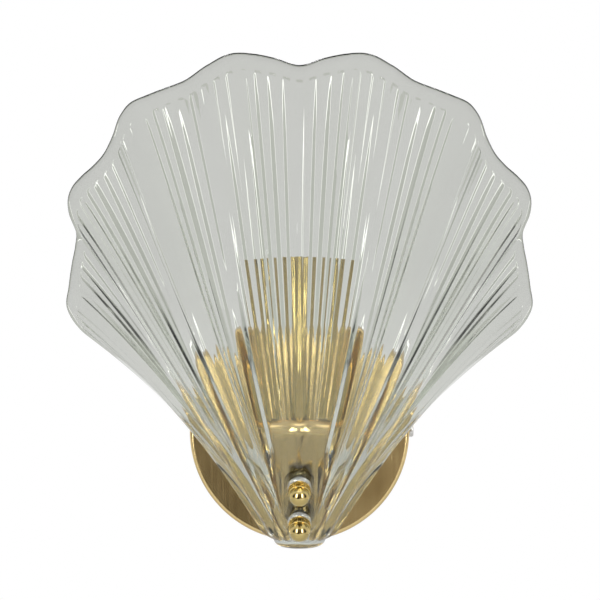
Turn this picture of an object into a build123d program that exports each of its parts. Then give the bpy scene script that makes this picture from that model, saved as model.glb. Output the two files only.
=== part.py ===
from build123d import *
import math
import os

# Shell wall sconce. Millimetres, +Z up, wall plane at y = 0, the front faces -Y.
# The origin is the centre of the canopy on the wall plane.

# ---- driving dimensions -------------------------------------------------------------------

# canopy, the round cup against the wall
canopy_diameter = 120.0
canopy_depth = 22.0
canopy_sheet = 1.2
canopy_rim_radius = 3.5

# strap screwed to the wall inside the canopy
strap_width = 24.0
strap_thickness = 2.0
strap_lug_depth = 14.0
strap_slot_spacing = 74.0
strap_slot_width = 4.6
strap_slot_length = 12.0
strap_lug_gap = 0.1

# bent strip that carries the lampholder and the glass
strip_width = 26.0
strip_thickness = 3.0
strip_bend_radius = 5.0
strip_top = 8.6
strip_reach = 53.4
strip_back_length = 35.0
leg_lean = 35.0
leg_end_width = 17.0
leg_below_lower_screw = 9.0

# hollow threaded tube through canopy and strip, and its nuts
nipple_diameter = 10.0
nipple_bore = 7.4
nipple_drop = 12.0
nipple_length = 17.0
nipple_inside = 7.5
nipple_hole_clearance = 0.2
hex_across_flats = 14.0
hex_thickness = 3.0
tooth_washer_diameter = 17.0
tooth_washer_thickness = 0.8
tooth_notches = 12
tooth_notch_radius = 0.8

# lampholder and the candle sleeve over it
lamp_axis_reach = 28.0
lamp_nipple_length = 13.0
lamp_nipple_drop = 8.5
sleeve_diameter = 27.0
sleeve_wall = 0.8
sleeve_length = 86.0
washer_clearance = 0.15
centring_washer_thickness = 1.0
stirrup_sheet = 1.0
stirrup_width = 12.0
stirrup_height = 56.0
socket_diameter = 23.0
socket_height = 28.0
socket_floor = 6.0
socket_above_stirrup = 18.0
socket_chamfer = 0.8
thread_shell_sink = 1.5
thread_shell_bore = 13.9
thread_shell_sheet = 0.6
thread_shell_length = 16.0
contact_length = 8.0
contact_width = 4.0
contact_sheet = 0.5
contact_spring_rise = 3.0

# screws, bushes, washers and ball nuts that hold the glass
screw_diameter = 4.0
screw_head_diameter = 8.0
screw_head_height = 2.6
screw_slot_width = 1.0
screw_slot_depth = 1.0
upper_screw_down_leg = 37.7
screw_spacing = 24.3
strip_hole_clearance = 0.15
nut_running_clearance = 0.05
cushion_thickness = 1.0
cushion_width = 15.0
cushion_end = 7.0
bush_wall = 1.2
bush_clearance = 0.1
glass_hole_clearance = 0.2
front_washer_diameter = 12.6
front_washer_thickness = 3.0
collar_diameter = 12.0
collar_length = 4.5
collar_knurls = 36
collar_knurl_depth = 0.3
dome_diameter = 10.4
collar_chamfer = 0.5
dome_length = 7.0
nut_end_cover = 1.6
nut_end_room = 0.3

# lobed and fluted glass shell
glass_back = 28.0
glass_seat = 6.0
lobes = 8
flutes_per_lobe = 8
flute_share = 0.17
lobe_depth = 4.2
lobe_fade = 1.2
foot_height = -58.0
side_height = 112.0
rim_slope = 0.9635
slope_rate = 1.5
front_foot = 11.0
front_rim = 141.0
front_rate = 1.10
side_foot = 15.5
side_rim = 117.0
side_spread = 58.0
side_turn = 8.0
wall_foot = 7.0
wall_rim = 4.5
lobe_lens = 0.8
lens_fade = 6.0
rim_band = 0.014
rim_band_lip = 0.2
rim_round = 0.006
rim_edge = 1.8
foot_bulge = 5.0
channel_width = 19.0
channel_above_screw = 16.0
channel_below_screw = 9.0
seat_margin = 3.0
strip_side_clearance = 0.5

# one screw in the side of the canopy
side_screw_head_diameter = 7.2
side_screw_head_height = 2.6
side_screw_depth = 11.0
side_screw_length = 9.0
side_screw_slot = 1.0

# terminal block, leads and earth
block_length = 30.0
block_height = 12.0
block_depth = 12.0
block_ways = 3
block_chamfer = 1.0
block_screw_sink = 1.5
block_screw_play = 0.2
block_screw_diameter = 4.0
block_screw_height = 2.0
block_screw_slot = 0.7
lead_diameter = 2.2
lead_hole_play = 0.2
lead_bend_room = 3.0
lead_block_bend = 2.6
lead_bend = 4.0
earth_screw_offset = 22.0
earth_tag_sheet = 0.8
earth_tag_diameter = 9.0
earth_barrel_length = 4.0
earth_barrel_wall = 0.4
earth_neck_width = 2.4

# ---- derived places ---------------------------------------------------------------------

canopy_radius = canopy_diameter / 2
canopy_face = -canopy_depth
strip_front = canopy_face - strip_reach
lean = math.radians(leg_lean)
lamp_y = canopy_face - lamp_axis_reach
lower_screw_down_leg = upper_screw_down_leg + screw_spacing
glass_hole_radius = screw_diameter / 2 + bush_wall + bush_clearance + glass_hole_clearance
seat_offset = cushion_thickness + glass_seat
nut_offset = seat_offset + front_washer_thickness
screw_end_offset = nut_offset + collar_length + dome_length - nut_end_cover
hex_corner = hex_across_flats / math.sqrt(3)
LOW = (Align.CENTER, Align.CENTER, Align.MIN)


def save(shape, name):
    """Write one sub-part to its own file."""
    export_step(shape, f"parts/{name}.step")


def tube(outer, bore, length):
    """Straight tube standing on z = 0."""
    return Cylinder(outer / 2, length, align=LOW) - Cylinder(bore / 2, length, align=LOW)


def facing(point, direction):
    """Location at a point whose own Z looks along a direction, with X kept level."""
    return Plane(origin=point, x_dir=(1, 0, 0), z_dir=direction).location


def leg_point(down, offset):
    """A point in the plane x = 0, down the front leg and off its outer face."""
    y = strip_front + down * math.sin(lean) - offset * math.cos(lean)
    z = strip_top - down * math.cos(lean) - offset * math.sin(lean)
    return (0, y, z)


def on_leg(down, offset=0.0):
    """Location on the front leg whose Z points out of it, towards the viewer and down."""
    return facing(leg_point(down, offset), (0, -math.cos(lean), -math.sin(lean)))


def driver_slot():
    """Cutter for the slot across a screw head, centred on the head's top."""
    return Box(2 * screw_head_diameter, screw_slot_width, 2 * screw_slot_depth)


def hex_nut(length, hole):
    """Hexagon nut standing on z = 0."""
    body = extrude(RegularPolygon(hex_corner, 6), length)
    return body - Cylinder(hole / 2, length, align=LOW)


# ---- canopy and what is inside it -------------------------------------------------------------

def make_canopy():
    """Spun cup with a rounded front edge, open at the wall."""
    r = canopy_radius
    d = canopy_depth
    profile = make_face(Polyline((0, 0), (r, 0), (r, d), (0, d), (0, 0)))
    corner = profile.vertices().sort_by_distance((r, d))[0]
    profile = fillet(corner, canopy_rim_radius)
    inner = make_face(Polyline(
        (0, 0),
        (r - canopy_sheet, 0),
        (r - canopy_sheet, d - canopy_sheet),
        (0, d - canopy_sheet),
        (0, 0),
    ))
    corner = inner.vertices().sort_by_distance((r - canopy_sheet, d - canopy_sheet))[0]
    inner = fillet(corner, canopy_rim_radius - canopy_sheet)
    cup = revolve(Plane.XZ * (profile - inner), Axis.Z)
    cup = Location((0, 0, 0), (1, 0, 0), 90) * cup
    hole = Cylinder((nipple_diameter + nipple_hole_clearance) / 2, 2 * canopy_depth)
    cup -= Location((0, canopy_face, -nipple_drop), (1, 0, 0), 90) * hole
    screw_hole = Cylinder(screw_diameter / 2 + strip_hole_clearance, 2 * canopy_depth)
    cup -= Location((r, -side_screw_depth, 0), (0, 1, 0), 90) * screw_hole
    return cup


def lug_outer_x():
    """Where the strap's bent ends stop, just inside the canopy's wall."""
    inner = canopy_radius - canopy_sheet - strap_lug_gap
    return math.sqrt(inner**2 - (strap_width / 2) ** 2)


def make_wall_strap():
    """Channel-shaped strap: flat on the wall, both ends bent forward inside the canopy."""
    x = lug_outer_x()
    t = strap_thickness
    d = strap_lug_depth
    outline = Polyline((-x, -d), (-x, 0), (x, 0), (x, -d), (x - t, -d), (x - t, -t), (t - x, -t), (t - x, -d),
                       (-x, -d))
    strap = extrude(make_face(outline), strap_width / 2, both=True)
    slot = extrude(SlotOverall(strap_slot_length, strap_slot_width), 2 * t, both=True)
    for side in (-1, 1):
        strap -= Location((side * strap_slot_spacing / 2, 0, 0), (1, 0, 0), 90) * slot
    thread = Cylinder(screw_diameter / 2 + nut_running_clearance, 3 * t)
    strap -= Location((x - t / 2, -side_screw_depth, 0), (0, 1, 0), 90) * thread
    earth = Cylinder(screw_diameter / 2, 3 * t)
    strap -= Location((earth_screw_offset, 0, -strap_width / 4), (1, 0, 0), 90) * earth
    return strap


def make_side_screw():
    """Slotted screw through the side of the canopy into the strap's lug."""
    shank = Cylinder(screw_diameter / 2, side_screw_length, align=LOW)
    head = Cylinder(side_screw_head_diameter / 2, side_screw_head_height, align=LOW)
    head = chamfer(head.edges().sort_by(Axis.Z)[-1], side_screw_head_height / 4)
    slot = Box(2 * side_screw_head_diameter, side_screw_slot, side_screw_head_height)
    head -= Location((0, 0, side_screw_head_height)) * slot
    screw = Location((0, 0, side_screw_length)) * head + shank
    start = canopy_radius + nut_running_clearance - side_screw_length
    return Location((start, -side_screw_depth, 0), (0, 1, 0), 90) * screw


def make_terminal_block():
    """Three-way connector block that sits on the strap."""
    block = Box(block_length, block_depth, block_height, align=(Align.CENTER, Align.MAX, Align.MIN))
    block = chamfer(block.edges().filter_by(Axis.X), block_chamfer)
    block = Location((0, -strap_thickness, 0)) * block
    pitch = block_length / block_ways
    for way in range(block_ways):
        x = (way - (block_ways - 1) / 2) * pitch
        well = Cylinder(block_screw_diameter / 2, block_screw_height + block_screw_sink, align=LOW)
        block -= block_screw_place(x) * well
        wire_hole = Cylinder(lead_diameter / 2 + lead_hole_play, block_height / 3, align=LOW)
        block -= Location((x, block_wire_y(), 0)) * wire_hole
    return block


def block_screw_place(x):
    """Location of the foot of a clamping screw, facing out of the terminal block."""
    foot = block_screw_height + block_screw_sink - strap_thickness - block_depth
    return facing((x, foot, block_height / 2), (0, -1, 0))


def block_wire_y():
    """Depth at which the leads enter the terminal block."""
    return -strap_thickness - block_depth / 2


def make_block_screws():
    """Clamping screws in the wells of the terminal block."""
    pitch = block_length / block_ways
    screws = []
    for way in range(block_ways):
        x = (way - (block_ways - 1) / 2) * pitch
        screw = Cylinder(block_screw_diameter / 2 - block_screw_play, block_screw_height, align=LOW)
        slot = Box(2 * block_screw_diameter, block_screw_slot, block_screw_height)
        screw -= Location((0, 0, block_screw_height)) * slot
        screws.append(block_screw_place(x) * screw)
    return Compound(screws)


# ---- bent strip and its fixings ----------------------------------------------------------------

def make_shell_bracket():
    """Strip bent twice: flat on the canopy, level under the lamp, then down and back."""
    t = strip_thickness
    tangent_run = strip_bend_radius / math.tan((math.pi / 2 - lean) / 2)
    short = tangent_run + 1.0
    share = t / (1 - math.sin(lean))
    inner_front = (strip_front + share * math.cos(lean), strip_top - t)
    start = (canopy_face, strip_top - strip_back_length)
    leg_outer = leg_point(short, 0)[1:]
    leg_inner = leg_point(short, -t)[1:]
    outer = FilletPolyline(start, (canopy_face, strip_top), (strip_front, strip_top), leg_outer,
                           radius=strip_bend_radius)
    inner = FilletPolyline((canopy_face - t, start[1]), (canopy_face - t, strip_top - t), inner_front, leg_inner,
                           radius=strip_bend_radius - t)
    ends = [Line(start, (canopy_face - t, start[1])), Line(leg_outer, leg_inner)]
    profile = make_face([*outer.edges(), *inner.edges(), *[e.edge() for e in ends]])
    strip = extrude(Plane.YZ * profile, strip_width / 2, both=True)
    strip += make_front_leg(short)
    hole = Cylinder((nipple_diameter + nipple_hole_clearance) / 2, 4 * t)
    strip -= Location((0, canopy_face, -nipple_drop), (1, 0, 0), 90) * hole
    strip -= Location((0, lamp_y, strip_top)) * hole
    screw_hole = Cylinder(screw_diameter / 2 + strip_hole_clearance, 4 * t)
    for down in (upper_screw_down_leg, lower_screw_down_leg):
        strip -= on_leg(down) * screw_hole
    return strip


def make_front_leg(start):
    """Tapered front leg with a round lower end."""
    half = strip_width / 2
    end = leg_end_width / 2
    bottom = lower_screw_down_leg + leg_below_lower_screw - end
    outline = [
        Line((half, -start), (end, -bottom)),
        ThreePointArc((end, -bottom), (0, -bottom - end), (-end, -bottom)),
        Line((-end, -bottom), (-half, -start)),
        Line((-half, -start), (half, -start)),
    ]
    plate = extrude(make_face([e.edge() for e in outline]), -strip_thickness)
    return on_leg(0) * plate


def make_canopy_nipple():
    """Hollow threaded tube that clamps strip and canopy."""
    start = canopy_face + canopy_sheet + nipple_inside
    body = tube(nipple_diameter, nipple_bore, nipple_length)
    return facing((0, start, -nipple_drop), (0, -1, 0)) * body


def make_front_nut():
    """Nut on the nipple in front of the strip."""
    place = (0, canopy_face - strip_thickness, -nipple_drop)
    return facing(place, (0, -1, 0)) * hex_nut(hex_thickness, nipple_diameter)


def make_tooth_washer():
    """Toothed washer between the canopy's inner face and the inner nut."""
    place = (0, canopy_face + canopy_sheet, -nipple_drop)
    ring = Cylinder(tooth_washer_diameter / 2, tooth_washer_thickness, align=LOW)
    notch = Cylinder(tooth_notch_radius, tooth_washer_thickness, align=LOW)
    ring -= PolarLocations(tooth_washer_diameter / 2, tooth_notches) * notch
    ring -= Cylinder(nipple_diameter / 2, tooth_washer_thickness, align=LOW)
    return facing(place, (0, 1, 0)) * ring


def make_inner_nut():
    """Nut on the nipple inside the canopy."""
    place = (0, canopy_face + canopy_sheet + tooth_washer_thickness, -nipple_drop)
    return facing(place, (0, 1, 0)) * hex_nut(hex_thickness, nipple_diameter)


# ---- lampholder ------------------------------------------------------------------------------------

def lamp(z):
    """Location on the lamp's upright axis."""
    return Location((0, lamp_y, z))


def make_lamp_nipple():
    """Hollow threaded tube that holds the lampholder to the strip."""
    return lamp(strip_top - lamp_nipple_drop) * tube(nipple_diameter, nipple_bore, lamp_nipple_length)


def make_lamp_nut():
    """Nut on that tube, under the strip."""
    return lamp(strip_top - strip_thickness - hex_thickness) * hex_nut(hex_thickness, nipple_diameter)


def make_centring_washer():
    """Washer that keeps the foot of the sleeve central."""
    bore = sleeve_diameter - 2 * sleeve_wall
    return lamp(strip_top) * tube(bore - 2 * washer_clearance, nipple_diameter, centring_washer_thickness)


def make_stirrup():
    """Bent steel stirrup that lifts the lampholder up inside the sleeve."""
    base = strip_top + centring_washer_thickness
    half = socket_diameter / 2
    t = stirrup_sheet
    h = stirrup_height
    outline = Polyline((-half, 0), (half, 0), (half, h), (half - t, h), (half - t, t), (t - half, t), (t - half, h),
                       (-half, h), (-half, 0))
    body = extrude(Plane.XZ * make_face(outline), stirrup_width / 2, both=True)
    body &= Cylinder(half, h, align=LOW)
    body -= Cylinder(nipple_diameter / 2, 3 * t)
    return lamp(base) * body


def socket_base():
    """Height of the lampholder body's underside."""
    return strip_top + centring_washer_thickness + stirrup_height + socket_above_stirrup - socket_height


def make_socket_body():
    """Moulded lampholder body with a seat for each stirrup arm."""
    body = Cylinder(socket_diameter / 2, socket_height, align=LOW)
    body = chamfer(body.edges().sort_by(Axis.Z)[-1], socket_chamfer)
    cavity = thread_shell_bore + 2 * thread_shell_sheet
    body -= Location((0, 0, socket_floor)) * Cylinder(cavity / 2, socket_height, align=LOW)
    arm_top = strip_top + centring_washer_thickness + stirrup_height - socket_base()
    arm = Box(stirrup_sheet, stirrup_width, arm_top, align=LOW)
    for side in (-1, 1):
        body -= Location((side * (socket_diameter - stirrup_sheet) / 2, 0, 0)) * arm
    lead_hole = Cylinder((lead_diameter + lead_hole_play) / 2, socket_floor / 2, align=LOW)
    for side in (-1, 1):
        body -= Location((side * lead_spacing(), 0, 0)) * lead_hole
    return lamp(socket_base()) * body


def lead_spacing():
    """Half the distance between the two leads under the lampholder."""
    return lead_diameter * 0.75


def make_thread_shell():
    """Screw shell that takes the lamp's cap."""
    ring = tube(thread_shell_bore + 2 * thread_shell_sheet, thread_shell_bore, thread_shell_length)
    return lamp(socket_base() + socket_height - thread_shell_length - thread_shell_sink) * ring


def make_centre_contact():
    """Sprung strip contact on the lampholder's floor."""
    half = contact_length / 2
    t = contact_sheet
    rise = contact_spring_rise
    outline = Polyline((-half, 0), (0, 0), (half, rise), (half, rise + t), (0, t), (-half, t), (-half, 0))
    strip = extrude(Plane.XZ * make_face(outline), contact_width / 2, both=True)
    return lamp(socket_base() + socket_floor) * strip


def make_candle_sleeve():
    """Polished tube over the lampholder."""
    body = tube(sleeve_diameter, sleeve_diameter - 2 * sleeve_wall, sleeve_length)
    return lamp(strip_top) * body


# ---- leads --------------------------------------------------------------------------------------------

def make_lead(points, radii):
    """Round insulated lead along straight runs joined by arcs."""
    path = FilletPolyline(*points, radius=radii)
    first = Vector(*points[0])
    along = Vector(*points[1]) - first
    section = Plane(origin=points[0], z_dir=along) * Circle(lead_diameter / 2)
    return sweep(section, path=path)


def make_line_lead(side):
    """Lead from the terminal block, through both hollow tubes, to the lampholder."""
    x = side * lead_spacing()
    pitch = block_length / block_ways
    block_x = side * pitch
    low = -nipple_drop
    inside = canopy_face + canopy_sheet + nipple_inside
    outside = inside - nipple_length
    points = [
        (block_x, block_wire_y(), 0),
        (block_x, block_wire_y(), low / 2),
        (x, inside + lead_bend_room, low),
        (x, outside - lead_bend_room, low),
        (x, lamp_y, low + lead_bend_room),
        (x, lamp_y, socket_base()),
    ]
    return make_lead(points, [lead_block_bend, lead_block_bend, lead_bend, lead_bend])


def make_earth_tag():
    """Ring tag under the earth screw, with a short barrel."""
    ring = Cylinder(earth_tag_diameter / 2, earth_tag_sheet, align=LOW)
    reach = earth_tag_diameter / 2 + earth_barrel_length
    barrel_radius = lead_diameter / 2 + earth_barrel_wall
    barrel = Cylinder(barrel_radius, earth_barrel_length, align=LOW)
    ring += Location((0, reach, barrel_radius), (1, 0, 0), 90) * barrel
    neck = Box(earth_neck_width, 2 * barrel_radius, earth_tag_sheet, align=LOW)
    ring += Location((0, earth_tag_diameter / 2, 0)) * neck
    ring -= Cylinder(screw_diameter / 2, 4 * earth_tag_sheet)
    return earth_place() * ring


def earth_place():
    """Location of the earth screw on the strap."""
    return facing((earth_screw_offset, -strap_thickness, -strap_width / 4), (0, -1, 0))


def make_earth_screw():
    """Pan head screw that holds the tag to the strap."""
    head = Cylinder(screw_head_diameter / 2, screw_head_height, align=LOW)
    head = chamfer(head.edges().sort_by(Axis.Z)[-1], screw_head_height / 4)
    head -= Location((0, 0, screw_head_height)) * driver_slot()
    head = Location((0, 0, earth_tag_sheet)) * head
    length = earth_tag_sheet + strap_thickness
    shank = Cylinder(screw_diameter / 2, length, align=(Align.CENTER, Align.CENTER, Align.MAX))
    return earth_place() * (head + Location((0, 0, earth_tag_sheet)) * shank)


# ---- fixing of the glass ------------------------------------------------------------------------------

def make_cushion():
    """Soft strip between the front leg and the glass."""
    middle = (upper_screw_down_leg + lower_screw_down_leg) / 2
    length = screw_spacing + 2 * cushion_end
    pad = extrude(SlotOverall(length, cushion_width), cushion_thickness)
    pad = Location((0, -middle, 0), (0, 0, 1), 90) * pad
    for down in (upper_screw_down_leg, lower_screw_down_leg):
        pad -= Location((0, -down, 0)) * Cylinder(screw_diameter / 2, 3 * cushion_thickness)
    return on_leg(0) * pad


def make_glass_screw(down):
    """Slotted pan head screw from behind the leg."""
    head_top = -strip_thickness
    head = Cylinder(screw_head_diameter / 2, screw_head_height, align=(Align.CENTER, Align.CENTER, Align.MAX))
    head = chamfer(head.edges().sort_by(Axis.Z)[0], screw_head_height / 4)
    head -= Location((0, 0, -screw_head_height)) * driver_slot()
    shank = Cylinder(screw_diameter / 2, screw_end_offset - head_top, align=LOW)
    return on_leg(down, head_top) * (head + shank)


def make_bush(down):
    """Soft tube that keeps the screw off the glass."""
    bore = screw_diameter + 2 * bush_clearance
    return on_leg(down, cushion_thickness) * tube(bore + 2 * bush_wall, bore, glass_seat)


def make_front_washer(down):
    """Clear washer between the glass and the ball nut."""
    ring = tube(front_washer_diameter, screw_diameter + 2 * bush_clearance, front_washer_thickness)
    return on_leg(down, seat_offset) * ring


def make_ball_nut(down):
    """Knurled collar with a domed nose, blind tapped from behind."""
    collar_r = collar_diameter / 2
    dome_r = dome_diameter / 2
    centre = collar_length + dome_length - dome_r
    collar = chamfer(Cylinder(collar_r, collar_length, align=LOW).edges().filter_by(GeomType.CIRCLE),
                     collar_chamfer)
    nut = collar + Location((0, 0, centre)) * Sphere(dome_r) & Cylinder(collar_r, 2 * centre, align=LOW)
    side = collar_knurl_depth * math.sqrt(2)
    groove = Location((0, 0, 0), (0, 0, 1), 45) * Box(side, side, collar_length, align=LOW)
    nut -= PolarLocations(collar_r, collar_knurls) * groove
    bore_radius = screw_diameter / 2 + nut_running_clearance
    nut -= Cylinder(bore_radius, screw_end_offset - nut_offset + nut_end_room, align=LOW)
    return on_leg(down, nut_offset) * nut


# ---- glass shell -----------------------------------------------------------------------------------------

def shell_radius(turn, rise):
    """Outer radius from the shell's upright back axis, at a turn from the front."""
    front = front_foot + (front_rim - front_foot) * rise**front_rate
    side = side_foot + side_spread * rise + (side_rim - side_foot - side_spread) * rise**2
    squareness = 2 + (side_turn - 2) * rise
    share = abs(math.sin(turn)) ** squareness
    return front + (side - front) * share + lobe_wave(turn, rise)


def lobe_wave(turn, rise):
    """How far the lobes stand out from, or lie in from, the plain shell."""
    return -lobe_depth * rise**lobe_fade * math.cos(2 * lobes * turn)


def shell_point(turn, rise, radius):
    """Place of a radius in the section plane, which tips up as the shell rises."""
    forward = radius * math.cos(turn)
    tip = rim_slope * (1 - (1 - rise) ** slope_rate)
    z = foot_height + side_height * rise + tip * forward
    return (radius * math.sin(turn), -glass_back - forward, z)


def plain_wall(rise):
    """Middle wall of the shell, measured along the section's radius."""
    return wall_foot + (wall_rim - wall_foot) * rise


def wall(turn, rise):
    """Wall of the shell: thicker on the crests, because the inner side follows the lobes less."""
    fade = 1 - (rise / (1 - rim_band)) ** lens_fade
    return plain_wall(rise) + lobe_lens * fade * lobe_wave(turn, rise)


def turns(steps):
    """Equal turns from the left free edge to the right one."""
    return [math.pi * (i / steps - 0.5) for i in range(steps + 1)]


def chain(points):
    """Straight edges through a row of points."""
    vectors = [Vector(*p) for p in points]
    return [Edge.make_line(a, b) for a, b in zip(vectors, vectors[1:])]


def plain_edges(rise, inset=0.0):
    """Lobed outline of one section, with one straight stave behind each flute."""
    staves = turns(lobes * flutes_per_lobe)
    return chain([shell_point(t, rise, shell_radius(t, rise) - inset) for t in staves])


def flute_depth(radius):
    """Depth of a flute, in step with its width."""
    return flute_share * radius * math.pi / (lobes * flutes_per_lobe)


def fluted_edges(rise):
    """Fluted inner outline of one section: a ridge and a hollow in turn."""
    points = []
    for i, t in enumerate(turns(2 * lobes * flutes_per_lobe)):
        radius = shell_radius(t, rise) - wall(t, rise)
        points.append(shell_point(t, rise, radius - flute_depth(radius) * (1 - i % 2)))
    return chain(points)


def closed_section(outer, inner):
    """Closed wire from the edges of an outer and an inner outline."""
    left = Edge.make_line(outer[0] @ 0, inner[0] @ 0)
    right = Edge.make_line(outer[-1] @ 1, inner[-1] @ 1)
    return Wire([*outer, right, *inner, left])


def make_fluted_wall():
    """Loft of the lobed and fluted wall up to the plain band at the rim."""
    top = 1 - rim_band
    rises = [top * share for share in (0.0, 0.1, 0.3, 0.5, 0.75, 1.0)]
    return Solid.make_loft([closed_section(plain_edges(s), fluted_edges(s)) for s in rises])


def make_rim_band():
    """Plain band at the rim, rounded over at its edge."""
    top = 1 - rim_band
    sections = []
    for rise, thin in ((top, 0.0), (1 - rim_round, 0.0), (1 - rim_round / 4, rim_edge / 3), (1.0, rim_edge)):
        outer = plain_edges(rise, thin)
        inner = plain_edges(rise, plain_wall(rise) + flute_depth(front_rim) + rim_band_lip - thin)
        sections.append(closed_section(outer, inner))
    return Solid.make_loft(sections, ruled=True)


def make_foot():
    """Solid rounded foot that closes the shell below."""
    sections = []
    for drop, share in ((0.0, 1.0), (0.45, 0.93), (0.8, 0.74), (1.0, 0.4)):
        outline = plain_edges(0.0, (1 - share) * front_foot)
        back = Edge.make_line(outline[-1] @ 1, outline[0] @ 0)
        sections.append(Pos(0, 0, -drop * foot_bulge) * Wire([*outline, back]))
    return Solid.make_loft(sections, ruled=True)


def make_glass_shell():
    """Lobed shell with a flat seat, a flat channel outside it, and two screw holes."""
    shell = Part() + make_fluted_wall() + make_rim_band() + make_foot()
    top = upper_screw_down_leg - channel_above_screw
    end = lower_screw_down_leg + channel_below_screw
    seat_width = channel_width + 2 * seat_margin
    seat = Box(seat_width, end - top, glass_seat, align=(Align.CENTER, Align.MAX, Align.MIN))
    shell += on_leg(0, cushion_thickness) * (Location((0, -top, 0)) * seat)
    clear_width = strip_width + 2 * strip_side_clearance
    clear = Box(clear_width, end, clear_width, align=(Align.CENTER, Align.MAX, Align.MAX))
    shell -= on_leg(0, cushion_thickness) * clear
    centre = (top + end) / 2
    channel = extrude(SlotOverall(end - top, channel_width), 20)
    channel = Location((0, -centre, 0), (0, 0, 1), 90) * channel
    shell -= on_leg(0, seat_offset) * channel
    for down in (upper_screw_down_leg, lower_screw_down_leg):
        shell -= on_leg(down) * Cylinder(glass_hole_radius, 6 * glass_seat)
    return shell


# ---- build -------------------------------------------------------------------------------------------------

def main():
    os.makedirs("parts", exist_ok=True)
    save(make_canopy(), "canopy")
    save(make_wall_strap(), "wall_strap")
    save(make_side_screw(), "canopy_side_screw")
    save(make_terminal_block(), "terminal_block")
    save(make_block_screws(), "terminal_screws")
    save(make_shell_bracket(), "shell_bracket")
    save(make_canopy_nipple(), "canopy_nipple")
    save(make_front_nut(), "nipple_nut_front")
    save(make_tooth_washer(), "tooth_washer")
    save(make_inner_nut(), "nipple_nut_inner")
    save(make_lamp_nipple(), "lampholder_nipple")
    save(make_lamp_nut(), "lampholder_nut")
    save(make_centring_washer(), "sleeve_centring_washer")
    save(make_stirrup(), "lampholder_stirrup")
    save(make_socket_body(), "lampholder_body")
    save(make_thread_shell(), "lampholder_screw_shell")
    save(make_centre_contact(), "lampholder_centre_contact")
    save(make_candle_sleeve(), "candle_sleeve")
    save(make_line_lead(-1), "live_lead")
    save(make_line_lead(1), "neutral_lead")
    save(make_earth_tag(), "earth_tag")
    save(make_earth_screw(), "earth_screw")
    save(make_cushion(), "glass_cushion")
    for name, down in (("upper", upper_screw_down_leg), ("lower", lower_screw_down_leg)):
        save(make_glass_screw(down), f"{name}_glass_screw")
        save(make_bush(down), f"{name}_glass_bush")
        save(make_front_washer(down), f"{name}_front_washer")
        save(make_ball_nut(down), f"{name}_ball_nut")
    save(make_glass_shell(), "glass_shell")


main()
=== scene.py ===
"""Looks of the shell wall sconce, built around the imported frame. Metres, +Z up, the front faces -Y."""
import math

import bmesh
import bpy
import numpy as np
from mathutils import Matrix, Vector


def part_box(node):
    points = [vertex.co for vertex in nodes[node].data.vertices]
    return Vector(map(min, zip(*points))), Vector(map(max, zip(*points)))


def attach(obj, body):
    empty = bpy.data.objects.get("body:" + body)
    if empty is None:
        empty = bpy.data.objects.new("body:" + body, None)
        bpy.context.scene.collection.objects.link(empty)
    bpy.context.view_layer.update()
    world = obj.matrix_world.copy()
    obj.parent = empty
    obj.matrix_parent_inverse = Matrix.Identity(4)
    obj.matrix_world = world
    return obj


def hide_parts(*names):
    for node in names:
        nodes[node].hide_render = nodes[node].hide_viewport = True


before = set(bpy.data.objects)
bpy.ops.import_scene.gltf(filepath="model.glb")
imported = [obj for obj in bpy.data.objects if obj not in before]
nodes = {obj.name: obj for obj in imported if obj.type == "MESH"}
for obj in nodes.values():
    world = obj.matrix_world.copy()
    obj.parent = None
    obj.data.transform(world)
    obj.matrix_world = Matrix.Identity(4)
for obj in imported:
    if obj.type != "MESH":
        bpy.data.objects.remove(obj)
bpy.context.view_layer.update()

MM = 0.001

# ---- sizes in millimetres, along the frame's axes ----------------------------------------
# Shares and rises have no unit: a rise is 0 at the glass's foot and 1 at its rim.

# front leg of the bent strip, and what sits on it
strip_front = -75.4
strip_top = 8.6
lean = math.radians(35.0)
upper_screw_down_leg = 37.7
lower_screw_down_leg = 62.0
cushion_thickness = 1.0
glass_seat = 6.0
front_washer_thickness = 3.0
seat_offset = cushion_thickness + glass_seat
nut_offset = seat_offset + front_washer_thickness

# solid seat of the glass, the channel in its front and the room behind it for the strip
channel_width = 19.0
channel_top = -3.0
channel_past_screw = 9.0
channel_end = lower_screw_down_leg + channel_past_screw
channel_cut = 20.0
channel_end_steps = 16
seat_margin = 3.0
seat_end = 8.0
seat_taper = 50.0
seat_start = 0.4
seat_height = 4.0
clear_width = 27.0
clear_above = 3.5
clear_below = 20.0
glass_hole_radius = 3.5
glass_hole_back = -9
glass_hole_front = 30

# run of the glass from the foot to the rim
glass_back = 28.0
lobes = 8
flutes = 64
foot_height = -58.0
side_height = 112.0
rim_slope = 0.9635
slope_rate = 1.5
front_foot = 11.0
front_rim = 141.0
front_rate = 1.10
side_foot = 17.5
side_rim = 117.0
side_spread = 60.0
side_curve = 25.0
side_turn_foot = 2
side_turn = 8.0
lobe_depth = 4.2
lobe_fade = 0.6
lobe_lens = 0.9
lens_fade = 6
wall_foot = 7.0
wall_rim = 4.5

# closed foot under the first row
foot_bulge = 5.0
foot_turn_in = 3.5
foot_turn_end = 0.04
foot_tip = 0.15
foot_fullness = 0.8
foot_steps = (90, 72, 54, 38, 24, 12, 0)

# free edges of the glass
rim_round = 0.011
rim_steps = 8
side_round = 0.6
side_steps = 6
side_fade = 0.1
least_edge = 0.02
corner_reach = 7.0
corner_start = 0.9
corner_span = 0.1
side_length = 155.0
glass_crease = 40

# flutes: relief as a share of their width, and the plain band above them
flute_share = 0.20
flute_even = 0.75
flute_uneven = 0.35
flute_pattern = 2.3
flute_start = 0.20
flute_full = 0.48
flute_soft_sides = 0.5
rim_band = 0.015
band_step = 0.004

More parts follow.
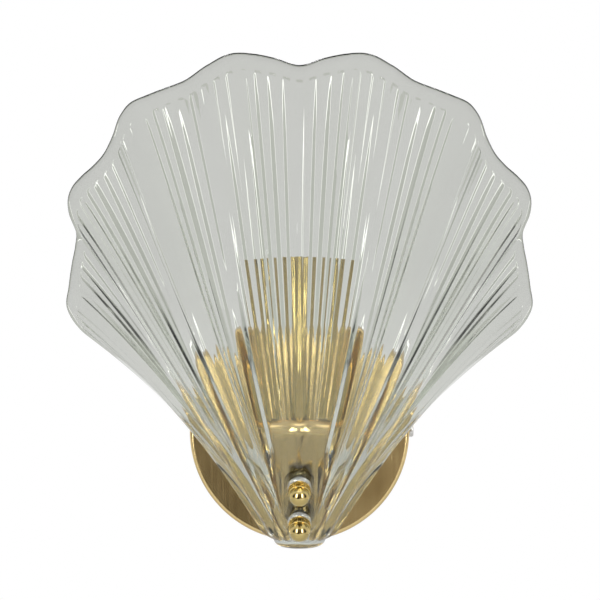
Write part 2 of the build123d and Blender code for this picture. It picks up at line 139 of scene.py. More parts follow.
# ribs behind the hollows between the lobes, and beads on the crests
# the blunting of a rib's ridge is in square millimetres
rib_height = 5.9
rib_half_width = 4.2
rib_middle = 0.75
rib_widening = 0.25
rib_share = 0.42
rib_blunting = 0.04
rib_full = 0.06
rib_fade = 0.45
rib_end = 0.75
bead_height = 1.5
bead_half_width = 1.7
bead_start = 0.30
bead_fade = 0.15
bead_end = 0.01

# rows and columns of the glass's mesh
columns_per_flute = 8
edge_columns = (0.72, 0.86)
foot_rows = (0, 0.006, 0.013, 0.02, 0.028, 0.036, 0.045)
body_start = 0.06
body_gap = 0.012
body_rows = 62
band_rows = (-0.006, -0.004, -0.002, 0, 0.0015, 0.003)

# outer radius of the rim at turns away from the front: crests and hollows of the lobes
rim_turns = (0, 5, 9, 13.5, 18, 23.5, 28, 32, 35, 38, 42, 46, 49.5, 53,
             56, 58.5, 61, 64.5, 67.5, 72, 78, 83, 90)
rim_radii = (137, 140.8, 143.9, 146, 144.2, 141.6, 142.8, 144.6, 145.8, 144.3, 139.8, 137.2, 137.6, 139.5,
             140.5, 139.6, 136.5, 129.2, 127.5, 126.8, 126.5, 126.9, 119)

# canopy
canopy_sheet = 1.2
canopy_corner = 2.2
canopy_flat = 30.0
nipple_hole_radius = 5.1
nipple_hole_cut = 30
nipple_height = -12
side_screw_hole_radius = 2.15
side_screw_hole_cut = 10
side_screw_off_wall = 11
canopy_steps = 160
axis_gap = 0.01

# candle sleeve
sleeve_wall = 0.8
sleeve_lip = 0.25
sleeve_steps = 128

# ball nuts: a knurled collar, then a dome, by their radii and lengths
nut_bore = 2.05
nut_collar = 6.0
nut_collar_length = 4.5
nut_edge = 0.6
nut_back_edge = 0.8
nut_dome = 5.35
nut_dome_end = 89.8
nut_length = 11.5
nut_nose = 1.3
knurl_rows = (1.2, 2.2, 3.2)
knurl_margin = 0.25
knurl_room = 0.5
knurl_depth = 0.5
knurl_count = 36
knurl_steps = 6

# clear front washers: outer radius, hole radius and rounding
washer_radius = 6.3
washer_hole = 2.1
washer_edge = 0.8
washer_steps = 72

# edges of the strip and of the side screw
strip_edge = 0.35
side_screw_edge = 0.15
edge_steps = 2
edge_angle = math.radians(35)
flat_angle = math.radians(1.0)
crease = 30

# points closer than this are one point, in metres: in made meshes, and in copies of the solids
weld = 1e-6
weld_copy = 2e-6


# ---- making meshes -----------------------------------------------------------------------

def piece(name, points, faces, smooth=True):
    """Mesh object from points in millimetres."""
    mesh = bpy.data.meshes.new(name)
    mesh.from_pydata([tuple(p) for p in np.asarray(points) * MM], [], faces)
    mesh.validate()
    thing = bpy.data.objects.new(name, mesh)
    bpy.context.scene.collection.objects.link(thing)
    tidy_mesh(thing, smooth)
    return thing


def tidy_mesh(thing, smooth=True):
    """Merges doubled points, turns faces outward and sets the shading."""
    shape = bmesh.new()
    shape.from_mesh(thing.data)
    bmesh.ops.remove_doubles(shape, verts=shape.verts, dist=weld)
    bmesh.ops.recalc_face_normals(shape, faces=shape.faces)
    shape.to_mesh(thing.data)
    shape.free()
    for face in thing.data.polygons:
        face.use_smooth = smooth


def bake(thing):
    """Applies the modifiers of a piece to its mesh."""
    view = bpy.context.evaluated_depsgraph_get()
    view.update()
    mesh = bpy.data.meshes.new_from_object(thing.evaluated_get(view))
    thing.modifiers.clear()
    thing.data = mesh


def combine(thing, tool, operation):
    """Cuts a tool from a piece, or joins it on, and removes the tool."""
    step = thing.modifiers.new("step", "BOOLEAN")
    step.operation = operation
    step.solver = "EXACT"
    step.object = tool
    bake(thing)
    bpy.data.objects.remove(tool)


def soften(thing, width):
    """Rounds the sharp edges of a piece."""
    step = thing.modifiers.new("edges", "BEVEL")
    step.width = width * MM
    step.segments = edge_steps
    step.limit_method = "ANGLE"
    step.angle_limit = edge_angle
    step.use_clamp_overlap = True
    step.harden_normals = False
    bake(thing)
    shade_by_angle(thing)


def shade_by_angle(thing, angle=crease):
    """Smooth shading that keeps edges sharper than an angle."""
    thing.data.shade_smooth()
    thing.data.set_sharp_from_angle(angle=math.radians(angle))


def softened_copy(node, width):
    """Copy of a solid of the frame with its flat faces cleaned and its edges rounded."""
    thing = bpy.data.objects.new(node + "_dressed", nodes[node].data.copy())
    bpy.context.scene.collection.objects.link(thing)
    thing.data.materials.clear()
    shape = bmesh.new()
    shape.from_mesh(thing.data)
    bmesh.ops.remove_doubles(shape, verts=shape.verts, dist=weld_copy)
    bmesh.ops.dissolve_limit(shape, angle_limit=flat_angle, verts=shape.verts, edges=shape.edges)
    shape.to_mesh(thing.data)
    shape.free()
    soften(thing, width)
    return thing


def arc(centre, radius, start, end, steps):
    """Points of an arc in a profile, angles in degrees."""
    angles = np.radians(np.linspace(start, end, steps + 1))
    return [(centre[0] + radius * math.cos(a), centre[1] + radius * math.sin(a)) for a in angles]


def circle(radius, steps=48):
    """Points of a full circle round the origin."""
    return arc((0, 0), radius, 0, 360 * (steps - 1) / steps, steps - 1)


def wrap(first, second, count):
    """Faces between two rings of points that start at the given numbers."""
    following = [(j + 1) % count for j in range(count)]
    return [(first + j, first + k, second + k, second + j) for j, k in enumerate(following)]


def lathe(name, profile, place, steps, knurl=None):
    """Solid of revolution of a closed profile of (radius, height), placed by a matrix in millimetres."""
    turn = 2 * math.pi * np.arange(steps) / steps
    rings = []
    for radius, height in profile:
        r = np.full(steps, float(radius))
        if knurl and knurl["low"] < height < knurl["high"] and radius > knurl["inside"]:
            r = r - knurl["depth"] * np.abs(np.cos(knurl["count"] * turn / 2))
        rings.append(np.column_stack((r * np.cos(turn), r * np.sin(turn), np.full(steps, float(height)))))
    points = np.concatenate(rings)
    spin = np.array(place.to_3x3())
    points = points @ spin.T + np.array(place.translation)
    count = len(profile)
    faces = []
    for i in range(count):
        faces += wrap(i * steps, (i + 1) % count * steps, steps)
    thing = piece(name, points, faces)
    shade_by_angle(thing)
    return thing


def prism(name, outline, low, high, place):
    """Straight prism of an outline between two heights of a place."""
    count = len(outline)
    points = [place @ Vector((x, y, h)) for h in (low, high) for x, y in outline]
    faces = [tuple(range(count))[::-1], tuple(range(count, 2 * count))]
    faces += wrap(0, count, count)
    return piece(name, points, faces, smooth=False)


def facing(point, direction):
    """Matrix whose own Z looks along a direction, with X kept level."""
    z = Vector(direction).normalized()
    x = Vector((1, 0, 0)) if abs(z.x) < 0.9 else Vector((0, 1, 0))
    y = z.cross(x).normalized()
    turn = Matrix((x, y, z)).transposed().to_4x4()
    return Matrix.Translation(Vector(point)) @ turn


def on_leg(down, offset=0.0):
    """Matrix on the strip's front leg whose Z points out of it."""
    y = strip_front + down * math.sin(lean) - offset * math.cos(lean)
    z = strip_top - down * math.cos(lean) - offset * math.sin(lean)
    return facing((0, y, z), (0, -math.cos(lean), -math.sin(lean)))


# ---- glass shell -------------------------------------------------------------------------

def smooth_step(value):
    """Soft rise from 0 to 1 while a value goes from 0 to 1."""
    value = np.clip(value, 0, 1)
    return value * value * (3 - 2 * value)


def rim_radius(turns):
    """Smooth curve through the rim's named radii."""
    knots = np.radians(rim_turns)
    radii = np.asarray(rim_radii, float)
    slopes = np.gradient(radii, knots)
    slopes[0] = 0
    t = np.abs(turns)
    i = np.clip(np.searchsorted(knots, t) - 1, 0, len(knots) - 2)
    width = knots[i + 1] - knots[i]
    s = (t - knots[i]) / width
    return ((2 * s**3 - 3 * s**2 + 1) * radii[i] + (s**3 - 2 * s**2 + s) * width * slopes[i]
            + (3 * s**2 - 2 * s**3) * radii[i + 1] + (s**3 - s**2) * width * slopes[i + 1])


def lobe_wave(turn):
    """Crests and hollows of the lobes, from 1 to -1."""
    return -np.cos(2 * lobes * turn)


def shell_radius(turn, rise):
    """Outer radius from the shell's upright back axis."""
    front = front_foot + (front_rim - front_foot) * rise**front_rate
    side = side_foot + side_spread * rise + side_curve * rise**2
    side = side + (side_rim - side_foot - side_spread - side_curve) * rise**3 + lobe_depth * rise**lobe_fade
    side = side - foot_turn_in * np.clip(1 - rise / foot_turn_end, 0, 1) ** 2
    share = np.abs(np.sin(turn)) ** (side_turn_foot + (side_turn - side_turn_foot) * rise)
    plain = front + (side - front) * share + lobe_depth * rise**lobe_fade * lobe_wave(turn)
    share = np.abs(np.sin(turn)) ** side_turn
    formula = front_rim + (side_rim + lobe_depth - front_rim) * share + lobe_depth * lobe_wave(turn)
    return plain + (rim_radius(turn) - formula) * rise**2


def wall(turn, rise):
    """Wall along the section's radius: the inner side follows the lobes less than the outer one."""
    plain = wall_foot + (wall_rim - wall_foot) * rise
    return plain + lobe_lens * lobe_depth * rise**lobe_fade * (1 - rise**lens_fade) * lobe_wave(turn)


def shell_point(turn, rise, radius):
    """Place of a radius in the section plane, which tips up as the shell rises."""
    forward = radius * np.cos(turn)
    tip = rim_slope * (1 - (1 - rise) ** slope_rate)
    z = foot_height + side_height * rise + tip * forward
    return np.stack((radius * np.sin(turn), -glass_back - forward, z), axis=-1)


def shell_turns():
    """Turns of the mesh's columns: even over the flutes, closer at the free edges."""
    pitch = math.pi / flutes
    columns = (flutes - 2) * columns_per_flute + 1
    inner = np.linspace(-math.pi / 2 + pitch, math.pi / 2 - pitch, columns)
    quarter = [j * math.pi / (2 * side_steps) for j in range(side_steps + 1)]
    edge = [side_round * pitch * (1 - math.cos(angle)) for angle in quarter]
    edge += [column * pitch for column in edge_columns]
    left = -math.pi / 2 + np.array(edge)
    return np.concatenate((left, inner, -left[::-1]))


def shell_rises():
    """Rises of the mesh's rows: closer at the foot, at the end of the flutes and at the rim."""
    band = 1 - rim_band
    body = np.linspace(body_start, band - body_gap, body_rows)
    step = [band + row for row in band_rows]
    quarter = [j * math.pi / (2 * rim_steps) for j in range(rim_steps + 1)]
    edge = [1 - rim_round * (1 - math.sin(angle)) for angle in quarter]
    return np.concatenate((foot_rows, body, step, edge))


def rib_profile(turn, rise, radius):
    """Height of the ribs and beads inside the glass, and the share of the flutes that they leave.

    The hollow in the middle, over the strip, has no rib.
    """
    spacing = math.pi / lobes
    number = np.clip(np.round(turn * lobes / math.pi), 1 - lobes / 2, lobes / 2 - 1)
    aside = np.abs(turn - number * math.pi / lobes) * radius
    fade = smooth_step(rise / rib_full) * smooth_step((rib_end - rise) / (rib_end - rib_fade))
    widened = rib_half_width * (rib_middle + rib_widening * np.abs(number))
    half = np.minimum(widened, rib_share * radius * spacing)
    height = np.clip(half - np.sqrt(aside**2 + rib_blunting), 0, None) * rib_height / rib_half_width
    left = 1 - (1 - smooth_step((aside - half) / half)) * fade
    crest = np.floor(turn * lobes / math.pi) + 0.5
    aside = np.abs(turn - crest * math.pi / lobes) * radius
    bead = bead_height * (1 - smooth_step(aside / bead_half_width))
    bead = bead * smooth_step((rise - bead_start) / bead_fade)
    bead = bead * smooth_step((1 - rim_band - rise) / bead_end)
    rib = np.where(number == 0, 0, height * fade)
    return rib + bead, left


def flute_relief(turn, rise):
    """Relief of the flutes, a little uneven, growing with the rise and softer at the sides."""
    number = np.round(turn * flutes / math.pi)
    relief = flute_share * (flute_even + flute_uneven * np.sin(flute_pattern * number**2))
    relief = relief * smooth_step((rise - flute_start) / (flute_full - flute_start))
    return relief * (1 - flute_soft_sides * np.sin(turn) ** 4)


def lowered_corners(turn, rise):
    """Rises with the two upper corners of the free sides rounded off."""
    radius = shell_radius(turn, rise)
    to_side = (math.pi / 2 - np.abs(turn)) * np.maximum(radius, 1)
    cut = np.clip(corner_reach - to_side, 0, corner_reach)
    drop = (corner_reach - np.sqrt(np.maximum(corner_reach**2 - cut**2, 0))) / side_length
    return rise - drop * smooth_step((rise - corner_start) / corner_span)


def edge_fullness(turn, rise):
    """Share of the wall that is left towards the free edges, which makes them round."""
    at_rim = np.clip((1 - rise) / rim_round, 0, 1)
    at_side = np.clip((math.pi / 2 - np.abs(turn)) / (side_round * math.pi / flutes), 0, 1)
    at_side = 1 - (1 - at_side) ** 2 * smooth_step(rise / side_fade)
    full = np.sqrt(1 - (1 - at_rim) ** 2) * np.sqrt(at_side)
    return np.maximum(full, least_edge)[..., None]


def shell_sides(turns, rises):
    """Outer and inner points of the shell, rows by columns, with every free edge rounded."""
    turn, rise = np.meshgrid(turns, rises)
    low = lowered_corners(turn, rise)
    radius = shell_radius(turn, low)
    across = np.abs(np.mod(turn * flutes / math.pi + 0.5, 1) - 0.5) * 2
    pitch = radius * math.pi / flutes
    fluted = 1 - smooth_step((rise - (1 - rim_band)) / band_step + 0.5)
    rib, plain = rib_profile(turn, low, radius)
    inner = radius - wall(turn, low) - rib
    depth = plain * pitch * flute_relief(turn, rise)
    inner = inner - depth * (0.5 - 0.5 * fluted * np.cos(math.pi * across))
    outer = shell_point(turn, low, radius)
    inner = shell_point(turn, low, inner)
    full = edge_fullness(turn, rise)
    middle = (outer + inner) / 2
    half = (outer - inner) / 2
    return middle + half * full, middle - half * full


def closed_foot(outer, inner):
    """Rows that close the shell below its first outer and inner row, as one solid end."""
    rows = []
    back_axis = np.array((0, -glass_back))
    for drop in foot_steps:
        share = foot_tip + (1 - foot_tip) * math.cos(math.radians(drop)) ** foot_fullness
        ring = outer.copy()
        ring[:, :2] = back_axis + (ring[:, :2] - back_axis) * share
        ring[:, 2] = foot_height - foot_bulge * math.sin(math.radians(drop))
        back = ring.copy()
        back[:, 0] = inner[:, 0] * share
        back[:, 1] = -glass_back
        rows.append(np.concatenate((ring, back[::-1])))
    return rows


def cut_seat(shell):
    """Adds the solid seat, then clears the strip's room, the front channel and the two holes."""
    half_seat = channel_width / 2 + seat_margin
    seat = [(-seat_end, -channel_end), (seat_end, -channel_end), (half_seat, -seat_taper),
            (half_seat, -channel_top), (-half_seat, -channel_top), (-half_seat, -seat_taper)]
    combine(shell, prism("seat", seat, cushion_thickness - seat_start, seat_height, on_leg(0)), "UNION")
    wide = clear_width / 2
    bottom = -channel_end - clear_below
    clear = [(-wide, bottom), (wide, bottom), (wide, clear_above), (-wide, clear_above)]
    combine(shell, prism("clear", clear, -clear_width, cushion_thickness, on_leg(0)), "DIFFERENCE")
    r = channel_width / 2
    slot = arc((0, -channel_top - r), r, 0, 180, channel_end_steps)
    slot += arc((0, -channel_end + r), r, 180, 360, channel_end_steps)
    combine(shell, prism("channel", slot, seat_offset, seat_offset + channel_cut, on_leg(0)), "DIFFERENCE")
    for down in (upper_screw_down_leg, lower_screw_down_leg):
        hole = prism("hole", circle(glass_hole_radius), glass_hole_back, glass_hole_front, on_leg(down))
        combine(shell, hole, "DIFFERENCE")


def make_shell():
    """Lobed shell, fluted inside, with a plain band at the rim and a solid foot."""
    turns = shell_turns()
    outer, inner = shell_sides(turns, shell_rises())
    rows = closed_foot(outer[0], inner[0])
    rows += [np.concatenate((o, i[::-1])) for o, i in zip(outer, inner)]
    points = np.concatenate(rows)
    half = len(turns)
    count = 2 * half
    faces = []
    for row in range(len(rows) - 1):
        faces += wrap(row * count, (row + 1) * count, count)
    last = (len(rows) - 1) * count
    faces.append(tuple(range(count))[::-1])
    faces += [(last + j, last + j + 1, last + count - 2 - j, last + count - 1 - j) for j in range(half - 1)]
    shell = piece("fluted_glass_shell", points, faces)
    cut_seat(shell)
    tidy_mesh(shell)
    shade_by_angle(shell, glass_crease)
    return shell


# ---- metal pieces and washers ------------------------------------------------------------

def make_canopy():
    """Spun cup with a rounded front edge, a hole for the nipple and one for the side screw."""
    low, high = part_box("canopy")
    radius = high.x / MM
    depth = -low.y / MM
    back = depth - canopy_sheet
    corner = (radius - canopy_corner, depth - canopy_corner)
    profile = [(radius, 0.0)]
    profile += arc(corner, canopy_corner, 0, 90, 12)
    profile += [(canopy_flat, depth), (axis_gap, depth), (axis_gap, back), (canopy_flat, back)]
    profile += arc(corner, canopy_corner - canopy_sheet, 90, 0, 10)
    profile += [(radius - canopy_sheet, 0.0)]
    canopy = lathe("canopy_cup", profile, facing((0, 0, 0), (0, -1, 0)), canopy_steps)
    place = facing((0, -depth, nipple_height), (0, -1, 0))
    nipple = prism("hole", circle(nipple_hole_radius), -nipple_hole_cut, nipple_hole_cut, place)
    combine(canopy, nipple, "DIFFERENCE")
    place = facing((radius, -side_screw_off_wall, 0), (1, 0, 0))
    screw = prism("hole", circle(side_screw_hole_radius), -side_screw_hole_cut, side_screw_hole_cut, place)
    combine(canopy, screw, "DIFFERENCE")
    tidy_mesh(canopy)
    shade_by_angle(canopy)
    return canopy


def make_sleeve():
    """Polished candle sleeve with rounded lips."""
    low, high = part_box("candle_sleeve")
    radius = (high.x - low.x) / 2 / MM
    outside = radius - sleeve_lip
    inside = radius - sleeve_wall + sleeve_lip
    bottom = low.z / MM + sleeve_lip
    top = high.z / MM - sleeve_lip
    profile = arc((outside, bottom), sleeve_lip, -90, 0, 3) + arc((outside, top), sleeve_lip, 0, 90, 3)
    profile += arc((inside, top), sleeve_lip, 90, 180, 3) + arc((inside, bottom), sleeve_lip, 180, 270, 3)
    place = Matrix.Translation(Vector((0, (low.y + high.y) / 2 / MM, 0)))
    return lathe("candle_tube", profile, place, sleeve_steps)


def make_ball_nut(name, down):
    """Knurled collar with a domed nose, blind tapped from behind."""
    centre = nut_length - nut_dome
    neck = math.degrees(math.asin((nut_collar_length - centre) / nut_dome))
    edge = nut_collar - nut_edge
    profile = [(nut_bore, 0.0), (nut_collar - nut_back_edge, 0.0)]
    profile += arc((edge, nut_edge), nut_edge, -90, 0, 4)
    profile += [(nut_collar, height) for height in knurl_rows]
    profile += arc((edge, nut_collar_length - nut_edge), nut_edge, 0, 90, 4)
    profile += arc((0, centre), nut_dome, neck, nut_dome_end, 24)
    profile += [(axis_gap, nut_length - nut_nose), (nut_bore, nut_length - nut_nose)]
    knurl = {
        "low": knurl_margin,
        "high": nut_collar_length - knurl_margin,
        "inside": nut_collar - knurl_room,
        "depth": knurl_depth,
        "count": knurl_count,
    }
    return lathe(name, profile, on_leg(down, nut_offset), knurl_count * knurl_steps, knurl)


def make_front_washer(name, down):
    """Clear soft washer with a rounded edge."""
    edge = washer_radius - washer_edge
    profile = [(washer_hole, 0.0)]
    profile += arc((edge, washer_edge), washer_edge, -90, 0, 4)
    profile += arc((edge, front_washer_thickness - washer_edge), washer_edge, 0, 90, 4)
    profile += [(washer_hole, front_washer_thickness)]
    return lathe(name, profile, on_leg(down, seat_offset), washer_steps)


# ---- materials ---------------------------------------------------------------------------
# Scales are waves to a metre, depths are in metres.

# handling patches and drawn grain of metal
metal_patch_scale = 45.0
metal_grain_share = 0.55
metal_patch_share = 0.45
metal_patch_roughness = 0.08
metal_grain_depth = 0.0004

# mottle and patches of plastic
mottle_scale = 900.0
mottle_share = 0.4
mottle_relief = 0.15
mottle_depth = 0.0002
plastic_patch_scale = 60.0
plastic_patch_share = 0.6
plastic_patch_roughness = 0.15

# glass: ripples and clouds, the faint tint with painted shade, paler low down and darker high up, and the
# colour of its depth
ripple_scale = 90.0
ripple_stretch = (1, 1, 0.35)
ripple_relief = 0.12
ripple_depth = 0.0006
cloud_scale = 25.0
# painted shade: the glass is painted grey, darker high up than low down, over its faint grey-green tint
low_tint_and_painted_shade = (0.44, 0.44, 0.42)
high_tints_and_painted_shade = (0.30, 0.303, 0.285), (0.325, 0.33, 0.31)
inside_tint = (0.96, 0.97, 0.95)
tint_and_shade_bottom = -0.03
tint_and_shade_top = 0.09
glass_roughness = 0.012
glass_bending = 1.5
depth_colour = (0.62, 0.75, 0.45)
depth_density = 14.0

class Value:
    """A shader socket whose sums are written as Python expressions."""

    def __init__(self, look, socket):
        self.look = look
        self.socket = socket

    def sum(self, operation, first, second):
        """Adds a Math node for two values or numbers."""
        return self.look.add("ShaderNodeMath", {"operation": operation}, {0: first, 1: second})

    def __add__(self, other):
        return self.sum("ADD", self, other)

    __radd__ = __add__

    def __sub__(self, other):
        return self.sum("SUBTRACT", self, other)

    def __rsub__(self, other):
        return self.sum("SUBTRACT", other, self)

    def __mul__(self, other):
        return self.sum("MULTIPLY", self, other)

    __rmul__ = __mul__


class Look:
    """One node tree, filled a node at a time."""

    def __init__(self, name, tree=None):
        if tree is None:
            self.material = bpy.data.materials.new(name)
            self.material.use_nodes = True
            tree = self.material.node_tree
        self.tree = tree
        self.tree.nodes.clear()

    def add(self, kind, settings=None, values=None, out=0):
        """Adds a node: its settings first, then the values or links of its sockets."""
        node = self.tree.nodes.new(kind)
        for key, setting in (settings or {}).items():
            setattr(node, key, setting)
        for key, value in (values or {}).items():
            if isinstance(value, Value):
                self.tree.links.new(value.socket, node.inputs[key])
            elif isinstance(value, tuple) and len(value) == 3 and node.inputs[key].type == "RGBA":
                node.inputs[key].default_value = (*value, 1)
            else:
                node.inputs[key].default_value = value
        return Value(self, node.outputs[out]) if node.outputs else None

    def place(self, stretch):
        """Object coordinates in metres, stretched."""
        at = self.add("ShaderNodeTexCoord", out="Object")
        return self.add("ShaderNodeMapping", None, {"Vector": at, "Scale": stretch})

    def noise(self, scale, detail, stretch=(1, 1, 1)):
        """Soft mottle, from 0 to 1."""
        return self.add("ShaderNodeTexNoise", None,
                        {"Vector": self.place(stretch), "Scale": scale, "Detail": detail})

    def mix(self, factor, first, second):
        """Colour between two colours."""
        return self.add("ShaderNodeMix", {"data_type": "RGBA"}, {0: factor, 6: first, 7: second}, out=2)

    def bump(self, height, strength, distance):
        """Normal of a relief."""
        return self.add("ShaderNodeBump", None,
                        {"Height": height, "Strength": strength, "Distance": distance})

    def finish(self, values):
        """Closes a material with one surface."""
        surface = self.add("ShaderNodeBsdfPrincipled", None, values)
        self.add("ShaderNodeOutputMaterial", None, {"Surface": surface})
        return self.material


def metal(name, light, dark, roughness, roughness_spread, stretch, grain_scale, relief):
    """Metal with a drawn grain and soft patches of handling."""
    look = Look(name)
    grain = look.noise(grain_scale, 4.0, stretch)
    patches = look.noise(metal_patch_scale, 2.0)
    shade = grain * metal_grain_share + patches * metal_patch_share
    colour = look.mix(shade, dark, light)
    uneven = roughness + (grain - 0.5) * roughness_spread + (patches - 0.5) * metal_patch_roughness
    return look.finish({
        "Base Color": colour,
        "Metallic": 1.0,
        "Roughness": uneven,
        "Normal": look.bump(grain, relief, metal_grain_depth),
    })


def plastic(name, light, dark, roughness, transmission=0.0, bending=1.5):
    """Moulded or rubbery material with a faint mottle."""
    look = Look(name)
    mottle = look.noise(mottle_scale, 2.0)
    patches = look.noise(plastic_patch_scale, 2.0)
    shade = mottle * mottle_share + patches * plastic_patch_share
    return look.finish({
        "Base Color": look.mix(shade, dark, light),
        "Roughness": roughness + (patches - 0.5) * plastic_patch_roughness,
        "Transmission Weight": transmission,
        "IOR": bending,
        "Normal": look.bump(mottle, mottle_relief, mottle_depth),
    })


def glass(name):
    """Clear pressed glass with a faint grey-green tint and faint ripples from the mould; its grey is
    painted shade, put on the surface the camera sees first, paler low down and darker high up.
    """
    look = Look(name)
    ripple = look.noise(ripple_scale, 2.0, ripple_stretch)
    cloud = look.noise(cloud_scale, 1.0)
    at = look.add("ShaderNodeTexCoord", out="Object")
    height = look.add("ShaderNodeSeparateXYZ", None, {"Vector": at}, out="Z")
    upper = look.add("ShaderNodeMapRange", None,
                     {"Value": height, "From Min": tint_and_shade_bottom, "From Max": tint_and_shade_top})
    # painted shade: the grey darkens from low down to high up, and goes only on the surface that the camera
    # sees first
    body = look.mix(upper, low_tint_and_painted_shade, look.mix(cloud, *high_tints_and_painted_shade))
    first = look.add("ShaderNodeLightPath", out="Is Camera Ray")
    surface = look.add("ShaderNodeBsdfPrincipled", None, {
        "Base Color": look.mix(first, inside_tint, body),
        "Roughness": glass_roughness,
        "Transmission Weight": 1.0,
        "IOR": glass_bending,
        "Normal": look.bump(ripple, ripple_relief, ripple_depth),
    })
    depth = look.add("ShaderNodeVolumeAbsorption", None, {"Color": depth_colour, "Density": depth_density})
    look.add("ShaderNodeOutputMaterial", None, {"Surface": surface, "Volume": depth})
    return look.material


# lighter and darker colour, roughness and its spread, stretch of the grain, its scale and relief
metals = {
    "satin_brass": ((0.70, 0.54, 0.28), (0.54, 0.41, 0.18), 0.24, 0.10, (260, 260, 6), 6.0, 0.06),
    "polished_brass": ((0.53, 0.42, 0.18), (0.44, 0.34, 0.135), 0.09, 0.05, (40, 40, 8), 5.0, 0.03),
    "contact_brass": ((0.72, 0.55, 0.25), (0.55, 0.40, 0.17), 0.32, 0.10, (60, 60, 60), 4.0, 0.05),
    "zinc_steel": ((0.62, 0.63, 0.66), (0.46, 0.47, 0.50), 0.38, 0.15, (80, 80, 80), 5.0, 0.08),
    "nickel_screw": ((0.66, 0.65, 0.63), (0.50, 0.49, 0.47), 0.22, 0.10, (120, 120, 120), 5.0, 0.05),
}

# lighter and darker colour, roughness, then for the clear ones the share let through and the bending
plastics = {
    "black_phenolic": ((0.035, 0.032, 0.030), (0.018, 0.016, 0.015), 0.32),
    "white_nylon": ((0.78, 0.78, 0.75), (0.68, 0.68, 0.65), 0.45),
    "clear_nylon": ((0.86, 0.87, 0.86), (0.76, 0.77, 0.76), 0.22, 0.75, 1.45),
    "clear_silicone": ((0.95, 0.95, 0.92), (0.88, 0.88, 0.85), 0.15, 0.98, 1.42),
    "brown_insulation": ((0.16, 0.075, 0.035), (0.11, 0.05, 0.022), 0.4),
    "blue_insulation": ((0.03, 0.09, 0.32), (0.02, 0.06, 0.22), 0.4),
}


def make_materials():
    """One material for each slot of the record."""
    made = {"shell_glass": glass("shell_glass")}
    for name, values in metals.items():
        made[name] = metal(name, *values)
    for name, values in plastics.items():
        made[name] = plastic(name, *values)
    return made


# ---- stage: camera, light and floor ------------------------------------------------------
# The camera and the lamps are placed in metres, the cards and the floor in millimetres.

camera_distance = 1.2
camera_height = 0.0717
frame_pixels = 600
focal_pixels = 2159
centre_pixel = 299.5
sensor = 36.0

softbox_angle = math.radians(31)
softbox_reach = 1.25
softbox_height = 0.30
softbox_size = (0.22, 0.8)
softbox_power = 8.0
softbox_aim = (0, -0.05, 0.05)
top_softbox_place = (0, -0.5, 1.3)
top_softbox_aim = (0, -0.05, 0)
top_softbox_size = (1.0, 0.6)
top_softbox_power = 4.0

# colours of the cards, each as a darker and a lighter tone
brown = (0.17, 0.13, 0.09), (0.26, 0.22, 0.17)
dark = (0.035, 0.025, 0.015), (0.06, 0.045, 0.03)
grey = (0.77, 0.79, 0.74), (0.87, 0.89, 0.84)
white = (0.95, 0.96, 0.94), (1.0, 1.0, 0.98)

# cards in front of the object, for the brass: across, upright and distance
grey_card = (-900, 900), (-500, 1300), -1900
dark_card = (-900, -20), (-900, -60), -1500
side_card_inner = 450
side_card_outer = 4000
side_card_upright = (-150, 450)
side_card_distance = -350

# flags and light strips 4 m behind the object, round the window that the glass is seen against
flag_distance = 4000
flag_outer = 5000
flag_bottom = -2000
flag_top = 4000
window_half_width = 640
window_bottom = -560
window_top = 640
strip_width = 60
strip_upright = (-100, 800)
strip_strength = 2.5

world_level = 0.55
floor_size = 900
floor_height = -350
floor_thickness = 10


def make_camera():
    """Level camera straight in front of the object."""
    lens = bpy.data.cameras.new("camera")
    lens.sensor_width = sensor
    lens.lens = focal_pixels / frame_pixels * sensor
    lens.shift_x = (frame_pixels / 2 - centre_pixel) / frame_pixels
    lens.clip_start = 0.01
    camera = bpy.data.objects.new("camera", lens)
    camera.location = (0, -camera_distance, camera_height)
    camera.rotation_euler = (math.pi / 2, 0, 0)
    bpy.context.scene.collection.objects.link(camera)
    bpy.context.scene.camera = camera


def softbox(name, place, aim, size, power):
    """Rectangular lamp turned to face a point."""
    light = bpy.data.lights.new(name, "AREA")
    light.shape = "RECTANGLE"
    light.size = size[0]
    light.size_y = size[1]
    light.energy = power
    lamp = bpy.data.objects.new(name, light)
    lamp.location = place
    lamp.rotation_euler = (Vector(aim) - Vector(place)).to_track_quat("-Z", "Y").to_euler()
    bpy.context.scene.collection.objects.link(lamp)


def make_lights():
    """A tall softbox on each side of the camera and a broad one above."""
    across = softbox_reach * math.sin(softbox_angle)
    away = softbox_reach * math.cos(softbox_angle)
    for side, name in ((-1, "left_softbox"), (1, "right_softbox")):
        softbox(name, (side * across, -away, softbox_height), softbox_aim, softbox_size, softbox_power)
    softbox("top_softbox", top_softbox_place, top_softbox_aim, top_softbox_size, top_softbox_power)


def make_card(name, across, upright, distance, tones, seen_in, strength=1.0):
    """Card that shows only in reflections, or only through the glass."""
    (left, right), (low, high) = across, upright
    corners = [(left, distance, low), (right, distance, low),
               (right, distance, high), (left, distance, high)]
    card = piece(name, corners, [(0, 1, 2, 3)], smooth=False)
    look = Look(name)
    shade = look.noise(1.5, 2.0)
    card.data.materials.append(look.finish({
        "Base Color": (0.0, 0.0, 0.0),
        "Roughness": 1.0,
        "Specular IOR Level": 0.0,
        "Emission Color": look.mix(shade, *tones),
        "Emission Strength": strength,
    }))
    card.visible_camera = False
    card.visible_diffuse = False
    card.visible_glossy = seen_in == "reflections"
    card.visible_transmission = seen_in == "glass"
    card.visible_shadow = False


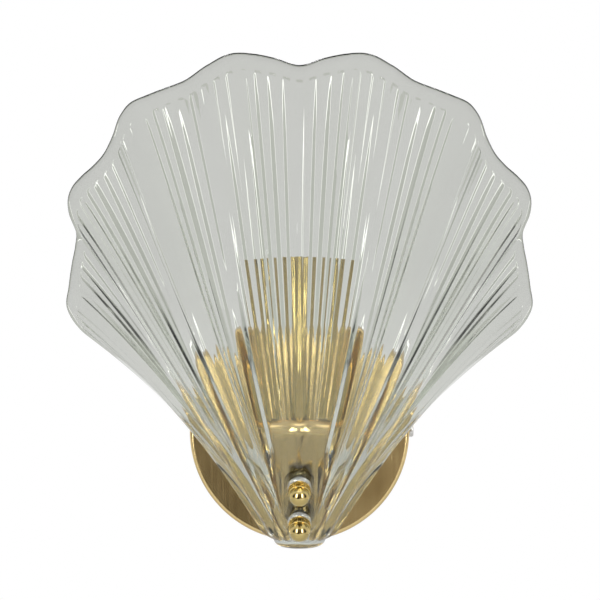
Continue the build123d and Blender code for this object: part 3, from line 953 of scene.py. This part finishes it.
def make_cards():
    """Cards that shade the brass, and the flags and light strips that draw the glass."""
    make_card("grey_card", *grey_card, brown, "reflections")
    make_card("dark_card", *dark_card, dark, "reflections")
    inner = window_half_width
    edge = inner + strip_width
    for side, name in ((-1, "left"), (1, "right")):
        flag = sorted((side * edge, side * flag_outer))
        make_card(name + "_flag", flag, (flag_bottom, flag_top), flag_distance, grey, "glass")
        across = sorted((side * side_card_inner, side * side_card_outer))
        make_card(name + "_dark_card", across, side_card_upright, side_card_distance, dark, "reflections")
        strip = sorted((side * inner, side * edge))
        make_card(name + "_strip", strip, strip_upright, flag_distance, white, "glass", strip_strength)
    make_card("upper_flag", (-inner, inner), (window_top, flag_top), flag_distance, grey, "glass")
    make_card("lower_flag", (-inner, inner), (flag_bottom, window_bottom), flag_distance, grey, "glass")


def make_world():
    """White to the camera, and to what metal and glass show; a softer level for everything else."""
    world = bpy.data.worlds.new("studio")
    world.use_nodes = True
    bpy.context.scene.world = world
    look = Look("studio", world.node_tree)
    seen = look.add("ShaderNodeLightPath", out="Is Camera Ray")
    shine = look.add("ShaderNodeLightPath", out="Is Glossy Ray")
    through = look.add("ShaderNodeLightPath", out="Is Transmission Ray")
    full = look.add("ShaderNodeMath", {"operation": "MINIMUM"}, {0: seen + shine + through, 1: 1.0})
    strength = full * (1 - world_level) + world_level
    light = look.add("ShaderNodeBackground", None, {"Color": (1, 1, 1), "Strength": strength})
    look.add("ShaderNodeOutputWorld", None, {"Surface": light})


def make_floor():
    """Pale floor well below the object."""
    side = floor_size
    outline = [(-side, -side), (side, -side), (side, side), (-side, side)]
    floor = prism("floor", outline, floor_height - floor_thickness, floor_height, Matrix.Identity(4))
    look = Look("pale_floor")
    speck = look.noise(30.0, 3.0)
    floor.data.materials.append(look.finish({
        "Base Color": look.mix(speck, (0.80, 0.80, 0.79), (0.84, 0.84, 0.83)),
        "Roughness": 0.6 + (speck - 0.5) * 0.1,
    }))


# ---- putting it together -----------------------------------------------------------------

def dress(thing, slot, body, *replaced):
    """Gives a piece its finish, its body and the nodes that it stands for."""
    thing.data.materials.clear()
    thing.data.materials.append(looks[slot])
    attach(thing, body)
    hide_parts(*replaced)


looks = make_materials()
dress(make_shell(), "shell_glass", "fixture", "glass_shell")
dress(make_canopy(), "satin_brass", "fixture", "canopy")
dress(make_sleeve(), "polished_brass", "fixture", "candle_sleeve")
dress(softened_copy("shell_bracket", strip_edge), "satin_brass", "fixture", "shell_bracket")
for end, down in (("upper", upper_screw_down_leg), ("lower", lower_screw_down_leg)):
    nut = make_ball_nut(f"{end}_knurled_nut", down)
    dress(nut, "polished_brass", f"{end}_nut", f"{end}_ball_nut")
    washer = make_front_washer(f"{end}_clear_washer", down)
    dress(washer, "clear_nylon", "fixture", f"{end}_front_washer")
side_screw = softened_copy("canopy_side_screw", side_screw_edge)
dress(side_screw, "nickel_screw", "side_screw", "canopy_side_screw")

# pieces that show as the frame gives them, with the finish of each
carried = {
    "zinc_steel": ("wall_strap", "canopy_nipple", "tooth_washer", "nipple_nut_inner",
                   "lampholder_nipple", "lampholder_stirrup", "upper_glass_screw",
                   "lower_glass_screw", "earth_screw", "earth_tag"),
    "polished_brass": ("nipple_nut_front", "lampholder_nut"),
    "contact_brass": ("lampholder_screw_shell", "lampholder_centre_contact"),
    "nickel_screw": ("terminal_screws",),
    "black_phenolic": ("lampholder_body",),
    "white_nylon": ("terminal_block",),
    "clear_nylon": ("sleeve_centring_washer", "upper_glass_bush", "lower_glass_bush"),
    "clear_silicone": ("glass_cushion",),
    "brown_insulation": ("live_lead",),
    "blue_insulation": ("neutral_lead",),
}
for slot, names in carried.items():
    for name in names:
        for place in nodes[name].material_slots:
            place.material = looks[slot]

make_camera()
make_lights()
make_cards()
make_world()
make_floor()
bpy.context.scene.view_settings.view_transform = "Standard"
